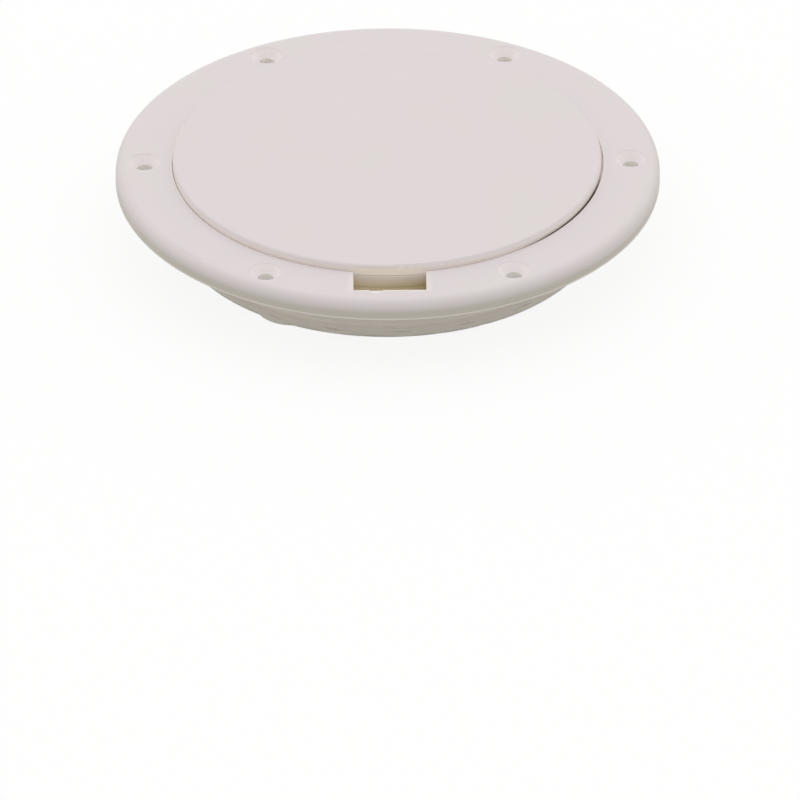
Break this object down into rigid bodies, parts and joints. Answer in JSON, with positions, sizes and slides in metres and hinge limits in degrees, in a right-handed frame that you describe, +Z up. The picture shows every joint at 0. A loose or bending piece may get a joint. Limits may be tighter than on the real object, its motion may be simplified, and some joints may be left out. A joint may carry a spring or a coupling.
{
  "type": "deck inspection plate",
  "caption": "Round screw-down deck plate whose plain cover is pried up out of its ring to open an inspection hole; rubber seal, threaded collar below.",
  "frame": {"origin": "centre of the circle of screw holes, on the flange's underside, where the plate sits on the deck", "axes": "+Z up out of the deck along the plate's axis, -Y towards the pry notch, +X through a screw hole"},
  "size_m": [0.2032, 0.2032, 0.0312],
  "materials": {
    "ring_plastic": "warm white moulded ABS, satin",
    "cover_plastic": "warm white moulded ABS, satin, very fine grain on top",
    "seal_rubber": "black nitrile rubber"
  },
  "bodies": {
    "ring": {"deck_ring": "ring_plastic"},
    "cover": {"cover": "cover_plastic", "o_ring": "seal_rubber"}
  },
  "joints": [
    {"name": "cover_lift", "type": "slide", "parent": "ring", "child": "cover", "axis": [0, 0, 1], "range_m": [0, 0.03]}
  ]
}
